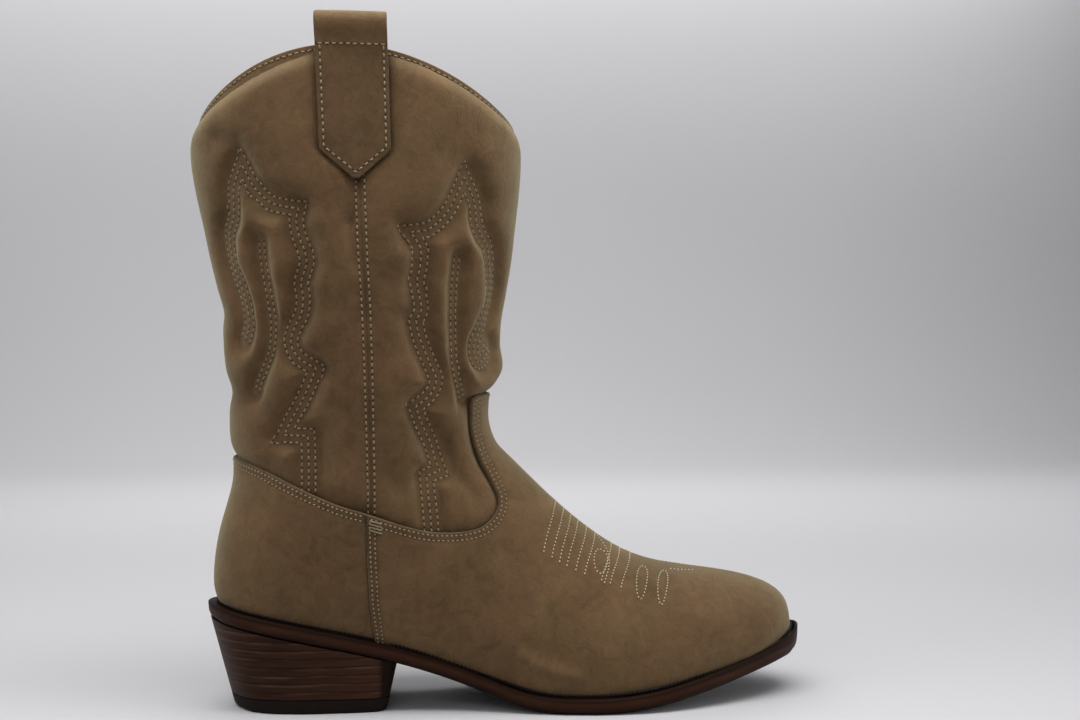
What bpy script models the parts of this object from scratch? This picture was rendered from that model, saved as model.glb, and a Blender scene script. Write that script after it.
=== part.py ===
"""Western boot: a mid-calf pull-on boot for the right foot.

The boot stands on its stacked heel and the ball of its sole. The toe points to +X, the inner side of
the foot is +Y and the outer side is -Y. Sizes are in millimetres and are turned to metres when a mesh
is made. Along the boot, x starts at the back of the outsole, and ORIGIN_X is taken off at the end.
"""

import math
from collections import namedtuple

import bmesh
import bpy
import numpy as np
from mathutils import Vector
from mathutils.bvhtree import BVHTree

# Driving dimensions, in millimetres
MM = 0.001
SHARP_ANGLE = math.radians(40)
SOLE_LENGTH = 276.0
BALL_WIDTH = 91.0
HEEL_RISE = 40.5
TOE_SPRING = 18.5
SOLE_THICKNESS = 6.8
SOLE_MARGIN = 3.4
WALL = 2.4
OVERLAY = 1.3
GAP = 0.3
LASTING_GAP = 0.5
INSOLE_THICKNESS = 3.0
INSOLE_CLEARANCE = 2.2
ORIGIN_X = 135.4

# Toe, ball and heel of the outsole
TOE_TIP_SWING = 8.0
BALL_FLAT_BACK = 150.0
BALL_FLAT_FRONT = 178.0
SOLE_TOP_BEVEL = 0.7
TOE_LIP = 4.6
LIP_WIDTH = 1.3
LIP_INNER_DRAFT = 0.5
SOLE_FOOT_BEVEL = 1.6
SOLE_SIDE_DRAFT = 0.3
STATIONS = 30
OUTLINE_STEPS = 12

# Heel block and the rubber top piece under it
HEEL_INSET = 1.2
BREAST_X = 84.5
BREAST_BOW = 3.0
BREAST_ROUND = 7.5
BREAST_ROUND_STEPS = 3
BREAST_POINTS = 5
HEEL_FOOT_BACK = 12.0
HEEL_FOOT_FRONT = 80.0
HEEL_FOOT_TAPER = 0.88
TOP_PIECE = 6.0
TOP_PIECE_BEVEL = 0.7
HEEL_STATIONS = 12

# Upper
COLUMNS = 28
ROW_STEPS = 2
CURVE_SAMPLES = 160
SEAM_WELD = 0.02

# Pull straps
LOOP_CENTRE_X = 63.6
LOOP_HALF_WIDTH = 15.2
LOOP_TOP_Z = 302.0
LOOP_GAP = 9.0
LOOP_ARC_STEPS = 6
STRAP_LEAN = 0.035
STRAP_SHOULDER_Z = 243.0
STRAP_SHOULDER_HALF_WIDTH = 14.9
STRAP_TIP_Z = 231.0
STRAP_TIP_HALF_WIDTH = 1.2
STRAP_INNER_END_Z = 250.0
STRAP_THICKNESS = 2.0
STRAP_GAP = 0.5
STRAP_COLUMNS = 5
STRAP_LEG_ROWS = 4
COLLAR_CLEARANCE = 1.0

# Half widths of the outsole, as shares of its length and of the ball width, from toe tip to heel back
Outline = namedtuple("Outline", "along lateral medial")
OUTLINE = [
    Outline(0.982, 0.066, 0.240),
    Outline(0.949, 0.165, 0.332),
    Outline(0.906, 0.254, 0.404),
    Outline(0.851, 0.341, 0.455),
    Outline(0.790, 0.420, 0.492),
    Outline(0.725, 0.481, 0.503),
    Outline(0.659, 0.500, 0.471),
    Outline(0.580, 0.480, 0.399),
    Outline(0.500, 0.418, 0.325),
    Outline(0.417, 0.353, 0.291),
    Outline(0.319, 0.331, 0.313),
    Outline(0.210, 0.341, 0.341),
    Outline(0.109, 0.321, 0.321),
    Outline(0.036, 0.231, 0.231),
]

# Underside of the outsole: the shank climbs to the heel, the forepart climbs to the toe
Rise = namedtuple("Rise", "x share")
SHANK_LINE = [
    Rise(0.0, 1.0),
    Rise(20.0, 0.90),
    Rise(42.0, 0.785),
    Rise(63.0, 0.675),
    Rise(84.0, 0.54),
    Rise(102.0, 0.40),
    Rise(116.0, 0.275),
    Rise(132.0, 0.11),
    Rise(143.0, 0.02),
    Rise(BALL_FLAT_BACK, 0.0),
]
TOE_LINE = [
    Rise(BALL_FLAT_FRONT, 0.0),
    Rise(190.0, 0.065),
    Rise(205.0, 0.20),
    Rise(222.0, 0.38),
    Rise(247.0, 0.68),
    Rise(262.0, 0.85),
    Rise(SOLE_LENGTH, 1.0),
]

# The outsole's rim stands up as a lip round the toe
LIP_LINE = [
    Rise(205.0, 0.0),
    Rise(235.0, 0.16),
    Rise(250.0, 0.24),
    Rise(262.0, 0.36),
    Rise(268.0, 0.52),
    Rise(272.0, 0.72),
    Rise(SOLE_LENGTH, 1.0),
]

# Sections of the foot fan out from the feather line, where the upper meets the sole, to the top of the
# foot. seat_x is where the section leaves the sole, ridge is its top, half_width its widest half,
# widest the share of the way up where that lies, and fullness the exponent of its rounding.
FootSection = namedtuple("FootSection", "seat_x ridge_x ridge_z half_width widest fullness")
FOOT_SECTIONS = [
    FootSection(239.0, 270.0, 33.0, 30.2, 0.02, 1.62),
    FootSection(237.0, 267.6, 41.0, 31.2, 0.05, 1.75),
    FootSection(233.0, 260.0, 47.0, 33.0, 0.08, 1.85),
    FootSection(226.0, 247.0, 51.6, 35.4, 0.10, 1.95),
    FootSection(214.0, 229.0, 55.0, 38.6, 0.12, 2.05),
    FootSection(197.0, 208.0, 58.4, 41.0, 0.15, 2.10),
    FootSection(174.0, 190.0, 64.2, 40.0, 0.18, 2.00),
    FootSection(148.0, 173.0, 75.2, 36.4, 0.25, 1.90),
    FootSection(120.0, 158.0, 87.6, 34.2, 0.34, 1.85),
    FootSection(92.0, 146.0, 99.2, 34.0, 0.42, 1.85),
    FootSection(64.0, 136.5, 108.8, 35.0, 0.48, 1.90),
    FootSection(37.0, 129.8, 115.5, 36.0, 0.52, 1.95),
    FootSection(15.0, 127.0, 122.0, 36.8, 0.54, 2.00),
]

# Rings of the heel and the shaft run from the back seam to the front. crown lifts a ring's middle, and
# CROWN_SKEW moves the highest point of that lift towards the back.
ShaftSection = namedtuple("ShaftSection", "back_x back_z front_x front_z half_width widest fullness crown")
SHAFT_SECTIONS = [
    ShaftSection(5.2, 47.6, 125.8, 128.0, 37.2, 0.55, 2.05, 0.0),
    ShaftSection(3.6, 60.0, 125.5, 134.0, 37.6, 0.55, 2.10, 0.0),
    ShaftSection(6.4, 79.0, 126.0, 140.0, 38.2, 0.54, 2.15, 0.0),
    ShaftSection(12.6, 101.0, 128.0, 146.0, 39.0, 0.53, 2.20, 0.0),
    ShaftSection(11.2, 119.0, 130.8, 152.0, 40.0, 0.52, 2.25, 0.0),
    ShaftSection(12.0, 138.0, 130.0, 160.0, 41.2, 0.51, 2.25, 0.0),
    ShaftSection(9.6, 158.0, 129.4, 171.0, 42.8, 0.50, 2.30, 0.0),
    ShaftSection(8.4, 180.0, 131.8, 184.0, 45.0, 0.50, 2.30, 2.0),
    ShaftSection(3.0, 203.0, 135.0, 205.0, 47.2, 0.50, 2.30, 6.0),
    ShaftSection(-2.4, 226.0, 137.8, 229.0, 48.8, 0.50, 2.30, 13.5),
    ShaftSection(-5.2, 244.0, 139.0, 245.0, 49.4, 0.50, 2.30, 22.0),
    ShaftSection(-4.6, 257.0, 138.8, 257.6, 49.2, 0.50, 2.30, 30.6),
]
LOWER_FULLNESS = 2.2
CROWN_SKEW = 0.87
OVERLAY_RINGS = 5

# Seen from the side, the line where vamp and counter lap over the shaft
SideLine = namedtuple("SideLine", "x z")
COUNTER_LINE = [
    SideLine(12.0, 112.0),
    SideLine(26.0, 107.0),
    SideLine(42.0, 99.4),
    SideLine(58.0, 92.3),
    SideLine(70.2, 88.4),
]
VAMP_LINE = [
    SideLine(70.2, 88.4),
    SideLine(84.5, 83.4),
    SideLine(98.0, 80.0),
    SideLine(111.0, 79.4),
    SideLine(120.0, 81.0),
    SideLine(126.2, 85.6),
    SideLine(128.2, 92.0),
    SideLine(125.2, 99.8),
    SideLine(119.6, 110.5),
    SideLine(116.2, 122.0),
    SideLine(115.6, 132.5),
    SideLine(117.2, 138.0),
    SideLine(128.0, 140.4),
]
SEAM_FOOT = SideLine(75.5, 26.0)
SIDE_LINE_STEPS = 3
CUTTER_REACH = 60.0

SUEDE = ((0.135, 0.088, 0.052), 0.95)
DARK_SOLE = ((0.020, 0.012, 0.009), 0.45)
STACK_BROWN = ((0.028, 0.014, 0.010), 0.40)
BLACK_RUBBER = ((0.012, 0.010, 0.009), 0.70)
INSOLE_TAN = ((0.33, 0.22, 0.13), 0.80)


# Curves


def read_table(rows, x):
    """Value at x of a table of (x, value) rows, smooth and with no overshoot between rows."""
    xs = np.array([row[0] for row in rows])
    ys = np.array([row[1] for row in rows])
    steps = np.diff(xs)
    slopes = np.diff(ys) / steps
    tangents = np.zeros(len(xs))
    tangents[0], tangents[-1] = slopes[0], slopes[-1]
    for i in range(1, len(xs) - 1):
        before, after = slopes[i - 1], slopes[i]
        if before * after > 0:
            tangents[i] = 2 * before * after / (before + after)
    i = int(np.clip(np.searchsorted(xs, x) - 1, 0, len(steps) - 1))
    t = float(np.clip((x - xs[i]) / steps[i], 0, 1))
    rise = (2 * t**3 - 3 * t**2 + 1) * ys[i] + (3 * t**2 - 2 * t**3) * ys[i + 1]
    bend = (t**3 - 2 * t**2 + t) * tangents[i] + (t**3 - t**2) * tangents[i + 1]
    return float(rise + bend * steps[i])


def smooth_through(points, steps, closed=False):
    """Points of a Catmull-Rom curve through the given points, with this many steps a span."""
    points = np.array(points, float)
    count = len(points)
    spans = count if closed else count - 1
    if closed:
        at = lambda i: points[i % count]
    else:
        padded = np.vstack([2 * points[0] - points[1], points, 2 * points[-1] - points[-2]])
        at = lambda i: padded[i + 1]
    made = []
    for i in range(spans):
        p0, p1, p2, p3 = at(i - 1), at(i), at(i + 1), at(i + 2)
        for t in np.arange(steps) / steps:
            made.append(
                p1 + 0.5 * t * (p2 - p0 + t * (2 * p0 - 5 * p1 + 4 * p2 - p3 + t * (3 * (p1 - p2) + p3 - p0)))
            )
    if not closed:
        made.append(points[-1])
    return np.array(made)


def even_points(points, count):
    """The given number of points, evenly spaced along a polyline."""
    lengths = np.concatenate([[0], np.cumsum(np.linalg.norm(np.diff(points, axis=0), axis=1))])
    at = np.linspace(0, lengths[-1], count)
    return np.column_stack([np.interp(at, lengths, points[:, axis]) for axis in range(points.shape[1])])


# The sole's outline and profile


def sole_outline():
    """Closed outline of the outsole in plan: the lateral side from toe to heel, then the medial side."""
    toe = [(SOLE_LENGTH, TOE_TIP_SWING)]
    lateral = [(SOLE_LENGTH * row.along, -BALL_WIDTH * row.lateral) for row in OUTLINE]
    heel = [(0.0, 0.0)]
    medial = [(SOLE_LENGTH * row.along, BALL_WIDTH * row.medial) for row in reversed(OUTLINE)]
    return smooth_through(toe + lateral + heel + medial, OUTLINE_STEPS, closed=True)


def inset_outline(inset):
    """The outline moved inwards, as (lateral, medial) rows of x and y in order of x."""
    loop = sole_outline()
    along = np.roll(loop, -1, axis=0) - np.roll(loop, 1, axis=0)
    along /= np.linalg.norm(along, axis=1)[:, None]
    moved = loop + inset * np.column_stack([along[:, 1], -along[:, 0]])
    toe, heel = int(np.argmax(moved[:, 0])), int(np.argmin(moved[:, 0]))
    lateral = np.roll(moved, -toe, axis=0)[: (heel - toe) % len(moved) + 1]
    medial = np.roll(moved, -heel, axis=0)[: (toe - heel) % len(moved) + 1]
    return lateral[::-1], medial


def sides_at(outline, x):
    """The lateral and the medial y of an outline at x."""
    lateral, medial = outline
    return (
        float(np.interp(x, lateral[:, 0], lateral[:, 1])),
        float(np.interp(x, medial[:, 0], medial[:, 1])),
    )


def underside(x):
    """Height of the outsole's underside."""
    if x < BALL_FLAT_BACK:
        return HEEL_RISE * read_table(SHANK_LINE, x)
    if x > BALL_FLAT_FRONT:
        return TOE_SPRING * read_table(TOE_LINE, x)
    return 0.0


def seat(x):
    """Height of the outsole's top, on which the upper is lasted."""
    return underside(x) + SOLE_THICKNESS


def rim_height(x):
    """Height of the outsole's outer rim: level with its top, with a lip round the toe."""
    if x < LIP_LINE[0].x:
        return seat(x)
    return seat(x) + TOE_LIP * read_table(LIP_LINE, x)


def sole_ring(inset, height):
    """One closed ring of an outline: lateral points from toe to heel, then medial points back."""
    outline = inset_outline(inset)
    heel_end, toe_end = outline[0][0, 0], outline[0][-1, 0]
    turns = np.linspace(0, math.pi, STATIONS + 1)
    xs = toe_end + (heel_end - toe_end) * (1 - np.cos(turns)) / 2
    lateral = [(x, sides_at(outline, x)[0], height(x)) for x in xs]
    medial = [(x, sides_at(outline, x)[1], height(x)) for x in xs[-2:0:-1]]
    return [Vector(point) for point in lateral + medial]


# Meshes


def finish_mesh(name, bm, look):
    """Turns a bmesh in millimetres into a named object in metres, in the boot's collection."""
    bmesh.ops.recalc_face_normals(bm, faces=bm.faces)
    if bm.calc_volume(signed=True) < 0:
        bmesh.ops.reverse_faces(bm, faces=bm.faces)
    for vertex in bm.verts:
        vertex.co = (vertex.co - Vector((ORIGIN_X, 0, 0))) * MM
    mesh = bpy.data.meshes.new(name)
    bm.to_mesh(mesh)
    bm.free()
    mesh.shade_smooth()
    mesh.set_sharp_from_angle(angle=SHARP_ANGLE)
    obj = bpy.data.objects.new(name, mesh)
    bpy.data.collections["western_boot"].objects.link(obj)
    colour, roughness = look
    material = bpy.data.materials.new(name)
    material.use_nodes = True
    shader = material.node_tree.nodes["Principled BSDF"]
    shader.inputs["Base Color"].default_value = (*colour, 1.0)
    shader.inputs["Roughness"].default_value = roughness
    mesh.materials.append(material)
    return obj


def loft(bm, rows, closed):
    """Quads between rows of points; a closed row's last point joins its first."""
    made = [[bm.verts.new(point) for point in row] for row in rows]
    for lower, upper in zip(made, made[1:]):
        count = len(lower)
        for i in range(count if closed else count - 1):
            j = (i + 1) % count
            bm.faces.new((lower[i], lower[j], upper[j], upper[i]))
    return made


def cap(bm, ring):
    """Closes a ring with rungs between its two sides, so that the cap follows the ring's profile."""
    count = len(ring)
    for i in range(count // 2):
        corners = []
        for k in (i, i + 1, (count - i - 1) % count, (count - i) % count):
            if ring[k] not in corners:
                corners.append(ring[k])
        if len(corners) > 2:
            bm.faces.new(corners)


def solid_of_rings(name, rings, look):
    bm = bmesh.new()
    made = loft(bm, rings, closed=True)
    cap(bm, made[0])
    cap(bm, made[-1])
    return finish_mesh(name, bm, look)


def evaluated_copy(obj):
    """The object's mesh with its modifiers applied, and the modifiers removed."""
    graph = bpy.context.evaluated_depsgraph_get()
    mesh = bpy.data.meshes.new_from_object(obj.evaluated_get(graph))
    obj.modifiers.clear()
    obj.data = mesh
    return obj


def solidify(obj, thickness, offset):
    wall = obj.modifiers.new("wall", "SOLIDIFY")
    wall.thickness = thickness * MM
    wall.offset = offset
    wall.use_even_offset = True
    return evaluated_copy(obj)


def rest_on_sole(obj):
    """Lifts any point of a wall's lower edge that comes nearer to the sole than the gap."""
    for vertex in obj.data.vertices:
        floor = seat(vertex.co.x / MM + ORIGIN_X) + LASTING_GAP
        vertex.co.z = max(vertex.co.z, floor * MM)


# The upper's own function: sections from the toe, round the heel and up to the collar


def ridge_swing(x):
    """How far the top line of the foot leans to the inner side at x."""
    return TOE_TIP_SWING * max(0.0, (x - SOLE_LENGTH / 2) / (SOLE_LENGTH / 2)) ** 2


def half_curve(seat_point, ridge, half_width, widest, fullness, crown, side):
    """One side of a section, from where it starts to its ridge."""
    start_x, start_y, start_z, centre_y = seat_point
    start_half = abs(start_y - centre_y)
    ratio = min(start_half / half_width, 1.0)
    ridge_x, ridge_z = ridge
    points = []
    for turn in np.linspace(0, math.pi, CURVE_SAMPLES):
        q = (1 - math.cos(turn)) / 2
        if q < widest:
            fall = (1 - ratio**LOWER_FULLNESS) * ((widest - q) / widest) ** LOWER_FULLNESS
            width = half_width * (1 - fall) ** (1 / LOWER_FULLNESS)
        else:
            fall = ((q - widest) / (1 - widest)) ** fullness
            width = half_width * max(0.0, 1 - fall) ** (1 / fullness)
        x = start_x + q * (ridge_x - start_x)
        back_share = q**CROWN_SKEW
        z = start_z + q * (ridge_z - start_z) + 4 * back_share * (1 - back_share) * crown
        centre = centre_y + (ridge_swing(ridge_x) - centre_y) * q
        points.append((x, centre + side * width, z))
    return np.array(points)


def joined_halves(lateral, medial):
    """A whole section: the lateral half to the ridge, then the medial half back down."""
    half = COLUMNS // 2 + 1
    return np.vstack([even_points(lateral, half), even_points(medial, half)[-2::-1]])


def upper_rows():
    """Rows of points on the outside of the upper, from the toe's edge to the collar."""
    feather = inset_outline(SOLE_MARGIN + OVERLAY + GAP)
    toe_start = FOOT_SECTIONS[0].seat_x + 1
    toe_edge = []
    for line in feather:
        rim = [(x, y, seat(x) + LASTING_GAP) for x, y in line if x > toe_start]
        side = (toe_start, np.interp(toe_start, *line.T), seat(toe_start) + LASTING_GAP)
        toe_edge.append(np.array([side] + rim))
    rows = [joined_halves(*toe_edge)]
    for row in FOOT_SECTIONS:
        lateral, medial = sides_at(feather, row.seat_x)
        centre = (lateral + medial) / 2
        halves = []
        for y, side in ((lateral, -1), (medial, 1)):
            start = (row.seat_x, y, seat(row.seat_x) + LASTING_GAP, centre)
            ridge = (row.ridge_x, row.ridge_z)
            halves.append(half_curve(start, ridge, row.half_width, row.widest, row.fullness, 0.0, side))
        rows.append(joined_halves(*halves))
    for row in SHAFT_SECTIONS:
        start = (row.back_x, 0.0, row.back_z, 0.0)
        ridge = (row.front_x, row.front_z)
        halves = [
            half_curve(start, ridge, row.half_width, row.widest, row.fullness, row.crown, side)
            for side in (-1, 1)
        ]
        rows.append(joined_halves(*halves))
    columns = [smooth_through([row[j] for row in rows], ROW_STEPS) for j in range(COLUMNS + 1)]
    back_seam = slice(ROW_STEPS * (len(FOOT_SECTIONS) + 1), None)
    columns[0][back_seam, 1] = columns[-1][back_seam, 1] = 0.0
    return [[Vector(point) for point in row] for row in zip(*columns)]


def skin(name, rows, look):
    """An open surface through rows of points, with its back seam closed."""
    bm = bmesh.new()
    loft(bm, rows, closed=False)
    bmesh.ops.remove_doubles(bm, verts=bm.verts, dist=SEAM_WELD)
    # the slanted faces round the heel would crease along their longer diagonal
    bmesh.ops.triangulate(bm, faces=bm.faces, quad_method="SHORT_EDGE")
    obj = finish_mesh(name, bm, look)
    outward = sum(polygon.normal.y * polygon.center.y for polygon in obj.data.polygons)
    if outward < 0:
        obj.data.flip_normals()
    return obj


# Pieces


def make_outsole():
    rings = [
        sole_ring(LIP_WIDTH + LIP_INNER_DRAFT, seat),
        sole_ring(LIP_WIDTH, rim_height),
        sole_ring(SOLE_TOP_BEVEL, rim_height),
        sole_ring(0.0, lambda x: rim_height(x) - SOLE_TOP_BEVEL),
        sole_ring(SOLE_SIDE_DRAFT, lambda x: underside(x) + SOLE_FOOT_BEVEL),
        sole_ring(SOLE_SIDE_DRAFT + SOLE_FOOT_BEVEL, underside),
    ]
    return solid_of_rings("outsole", rings, DARK_SOLE)


def heel_rings():
    """The heel's top ring under the sole and its lower ring, each round the back and across the breast.

    The corners between side and breast are rounded."""
    outline = inset_outline(HEEL_INSET)
    back = outline[0][0, 0]
    walk = []
    for turn in np.linspace(math.pi / 2, 0, BREAST_ROUND_STEPS + 1):
        walk.append((BREAST_X - BREAST_ROUND * (1 - math.sin(turn)), BREAST_ROUND * (1 - math.cos(turn))))
    turns = np.linspace(0, math.pi / 2, HEEL_STATIONS + 1)[1:]
    walk += [(back + (walk[-1][0] - back) * (1 - math.sin(turn)), 0.0) for turn in turns]
    lateral = [(x, sides_at(outline, x)[0] + inset) for x, inset in walk]
    medial = [(x, sides_at(outline, x)[1] - inset) for x, inset in walk[-2::-1]]
    low, high = lateral[0][1], medial[-1][1]
    breast = []
    for share in np.linspace(0, 1, BREAST_POINTS + 2)[1:-1]:
        bow = BREAST_BOW * math.sin(math.pi * share)
        breast.append((BREAST_X - bow, high + (low - high) * share))
    top = lateral + medial + breast
    stretch = (HEEL_FOOT_FRONT - HEEL_FOOT_BACK) / (BREAST_X - back)
    foot = [(HEEL_FOOT_BACK + (x - back) * stretch, y * HEEL_FOOT_TAPER) for x, y in top]
    return top, foot


def ring_between(top, foot, height):
    """A ring of the heel where its wall passes the given height."""
    made = []
    for (top_x, top_y), (foot_x, foot_y) in zip(top, foot):
        share = height / (underside(top_x) - GAP)
        made.append(Vector((foot_x + (top_x - foot_x) * share, foot_y + (top_y - foot_y) * share, height)))
    return made


def fan_cap(bm, ring):
    """Closes a heel ring: the middle of its breast is the hub of the fan."""
    count = len(ring)
    hub = count - (BREAST_POINTS + 1) // 2
    order = [ring[(hub + k) % count] for k in range(count)]
    for first, second in zip(order[1:], order[2:]):
        bm.faces.new((order[0], first, second))


def make_heel():
    top, foot = heel_rings()
    under_sole = [Vector((x, y, underside(x) - GAP)) for x, y in top]
    bm = bmesh.new()
    made = loft(bm, [under_sole, ring_between(top, foot, TOP_PIECE + GAP)], closed=True)
    fan_cap(bm, made[0])
    fan_cap(bm, made[1])
    finish_mesh("heel", bm, STACK_BROWN)
    bm = bmesh.new()
    middle = Vector(((HEEL_FOOT_BACK + HEEL_FOOT_FRONT) / 2, 0, 0))
    floor_ring = []
    for point in ring_between(top, foot, 0.0):
        floor_ring.append(point - (point - middle).normalized() * TOP_PIECE_BEVEL)
    rings = [
        ring_between(top, foot, TOP_PIECE),
        ring_between(top, foot, TOP_PIECE_BEVEL),
        floor_ring,
    ]
    made = loft(bm, rings, closed=True)
    fan_cap(bm, made[0])
    fan_cap(bm, made[-1])
    finish_mesh("heel_top_piece", bm, BLACK_RUBBER)


def make_insole():
    inset = SOLE_MARGIN + OVERLAY + WALL + GAP + INSOLE_CLEARANCE
    rings = [
        sole_ring(inset, lambda x: seat(x) + GAP + INSOLE_THICKNESS),
        sole_ring(inset, lambda x: seat(x) + GAP),
    ]
    return solid_of_rings("insole", rings, INSOLE_TAN)


def make_upper(rows):
    upper = solidify(skin("upper", rows, SUEDE), WALL, -1.0)
    rest_on_sole(upper)
    return upper


def side_cutter(name, line):
    """A prism across the boot whose outline, seen from the side, is the given line."""
    bm = bmesh.new()
    faces = [[Vector((x, y, z)) for x, z in line] for y in (-2 * CUTTER_REACH, 2 * CUTTER_REACH)]
    made = loft(bm, faces, closed=True)
    bm.faces.new(made[0])
    bm.faces.new(made[1])
    cutter = finish_mesh(name, bm, SUEDE)
    bpy.data.collections["western_boot"].objects.unlink(cutter)
    bpy.data.collections["cutters"].objects.link(cutter)
    cutter.hide_render = True
    cutter.display_type = "WIRE"
    return cutter


def make_overlay(name, rows, line):
    """A layer over the upper's own surface, cut to an outline seen from the side."""
    layer = skin(name, rows, SUEDE)
    for vertex in layer.data.vertices:
        vertex.co += vertex.normal * GAP * MM
    solidify(layer, OVERLAY, 1.0)
    rest_on_sole(layer)
    cut = layer.modifiers.new("outline", "BOOLEAN")
    cut.operation = "INTERSECT"
    cut.object = side_cutter(name + "_outline", line)
    return layer


def make_overlays(rows):
    lapped = rows[: len(rows) - ROW_STEPS * (len(SHAFT_SECTIONS) - 1 - OVERLAY_RINGS)]
    low, high = -CUTTER_REACH, SOLE_LENGTH + CUTTER_REACH
    vamp_edge = smooth_through(VAMP_LINE, SIDE_LINE_STEPS)
    vamp = [(high, low), (SEAM_FOOT.x + GAP, low), (SEAM_FOOT.x + GAP, SEAM_FOOT.z)]
    vamp += [(x + GAP / 2, z) for x, z in vamp_edge]
    vamp += [(high, VAMP_LINE[-1].z)]
    make_overlay("vamp", lapped, vamp)
    counter_edge = smooth_through(COUNTER_LINE, SIDE_LINE_STEPS)
    counter = [(low, low), (low, COUNTER_LINE[0].z)]
    counter += [(x - GAP / 2, z) for x, z in counter_edge]
    counter += [(SEAM_FOOT.x, SEAM_FOOT.z), (SEAM_FOOT.x, low)]
    make_overlay("heel_counter", lapped, counter)


def wall_at(tree, x, z, side):
    """The outer and the inner y of the upper's wall at x and z, on one side."""
    start_x = (x - ORIGIN_X) * MM
    clear_of_boot = side * BALL_WIDTH * MM
    outside = tree.ray_cast(Vector((start_x, clear_of_boot, z * MM)), Vector((0, -side, 0)))[0]
    inside = tree.ray_cast(Vector((start_x, 0, z * MM)), Vector((0, side, 0)))[0]
    return outside.y / MM, inside.y / MM


def collar_height(rows, x, side):
    """Height of the collar's edge at x on one side."""
    rim = sorted((p.x, p.z) for p in rows[-1] if p.y * side >= 0)
    return float(np.interp(x, [p[0] for p in rim], [p[1] for p in rim]))


def strap_x(across, z):
    """Where a lengthwise line of the strap runs: across goes from -1 at its back edge to 1 at its front."""
    heights = [STRAP_TIP_Z, STRAP_SHOULDER_Z, LOOP_TOP_Z]
    half_widths = [STRAP_TIP_HALF_WIDTH, STRAP_SHOULDER_HALF_WIDTH, LOOP_HALF_WIDTH]
    return LOOP_CENTRE_X + STRAP_LEAN * (LOOP_TOP_Z - z) + across * np.interp(z, heights, half_widths)


def strap_line(tree, rows, across, side):
    """One lengthwise line of a pull strap: up the outside, over the loop and down the inside."""
    rim_x = strap_x(across, LOOP_TOP_Z)
    rim = collar_height(rows, rim_x, side) - COLLAR_CLEARANCE
    line = []
    for z in [STRAP_TIP_Z, *np.linspace(STRAP_SHOULDER_Z, rim, STRAP_LEG_ROWS)]:
        x = strap_x(across, z)
        line.append((x, wall_at(tree, x, z, side)[0] + side * STRAP_GAP, z))
    middle = sum(wall_at(tree, rim_x, rim, side)) / 2
    radius = LOOP_GAP / 2
    for turn in np.linspace(0, math.pi, LOOP_ARC_STEPS + 1):
        rise = radius * (math.sin(turn) - 1) - STRAP_THICKNESS
        line.append((rim_x, middle + side * radius * math.cos(turn), LOOP_TOP_Z + rise))
    for z in np.linspace(rim, STRAP_INNER_END_Z, STRAP_LEG_ROWS):
        x = strap_x(across, z)
        line.append((x, wall_at(tree, x, z, side)[1] - side * STRAP_GAP, z))
    return line


def make_pull_strap(name, tree, rows, side):
    shares = np.linspace(-1, 1, STRAP_COLUMNS)
    lines = [strap_line(tree, rows, share, side) for share in shares]
    strap_rows = [[Vector(point) for point in row] for row in zip(*lines)]
    strap = skin(name, strap_rows, SUEDE)
    return solidify(strap, STRAP_THICKNESS, 1.0)


def clear_scene():
    for obj in list(bpy.data.objects):
        bpy.data.objects.remove(obj, do_unlink=True)
    for name in ("western_boot", "cutters"):
        bpy.context.scene.collection.children.link(bpy.data.collections.new(name))


def main():
    clear_scene()
    make_outsole()
    make_heel()
    make_insole()
    rows = upper_rows()
    upper = make_upper(rows)
    make_overlays(rows)
    tree = BVHTree.FromPolygons(
        [vertex.co for vertex in upper.data.vertices],
        [polygon.vertices for polygon in upper.data.polygons],
    )
    make_pull_strap("pull_strap_outer", tree, rows, -1)
    make_pull_strap("pull_strap_inner", tree, rows, 1)


main()
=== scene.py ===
# %% [markdown]
# # A suede western boot
#
# The boot is a pull-on with a quilted shaft, a stitched vamp, a pointed pull strap on each side and a
# stacked heel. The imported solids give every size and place. This lesson dresses them in soft suede: it
# smooths the skin of the upper, presses the quilting into it, lays the vamp and counter over it, and sews
# every row with real thread.

# %% Frame and units
import math

import bmesh
import bpy
import numpy as np
from mathutils import Matrix, Vector, noise
from mathutils.bvhtree import BVHTree
from mathutils.kdtree import KDTree


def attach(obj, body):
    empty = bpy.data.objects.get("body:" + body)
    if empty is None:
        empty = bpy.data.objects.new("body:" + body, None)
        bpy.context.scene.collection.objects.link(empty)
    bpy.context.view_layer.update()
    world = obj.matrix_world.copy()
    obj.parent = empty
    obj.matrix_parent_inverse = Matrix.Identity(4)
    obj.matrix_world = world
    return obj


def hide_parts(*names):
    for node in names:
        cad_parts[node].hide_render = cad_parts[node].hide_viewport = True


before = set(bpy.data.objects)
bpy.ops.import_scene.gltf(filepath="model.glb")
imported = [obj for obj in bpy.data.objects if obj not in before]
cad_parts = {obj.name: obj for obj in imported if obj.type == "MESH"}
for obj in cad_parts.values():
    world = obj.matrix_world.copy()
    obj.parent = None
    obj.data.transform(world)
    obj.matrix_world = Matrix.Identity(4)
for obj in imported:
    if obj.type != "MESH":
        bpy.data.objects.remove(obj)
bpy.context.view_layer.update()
MM = 0.001
REAR_X = -135.4

# %% [markdown]
# ## Studio
#
# Small functions for colours, shader nodes and pieces come first. The boot was photographed in a light
# tent: a pale sweep, one broad soft light from above and weaker ones round it. A sweep is a floor that
# curves up into a wall, so no horizon line shows. One edge, extruded along a profile, makes it.

# %% Colours, nodes and pieces
def colour(hex_text):
    """Turn an sRGB hex value into linear light."""
    values = [int(hex_text[i:i + 2], 16) / 255 for i in (1, 3, 5)]
    linear = [v / 12.92 if v <= 0.04045 else ((v + 0.055) / 1.055) ** 2.4 for v in values]
    return (*linear, 1.0)


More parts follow.
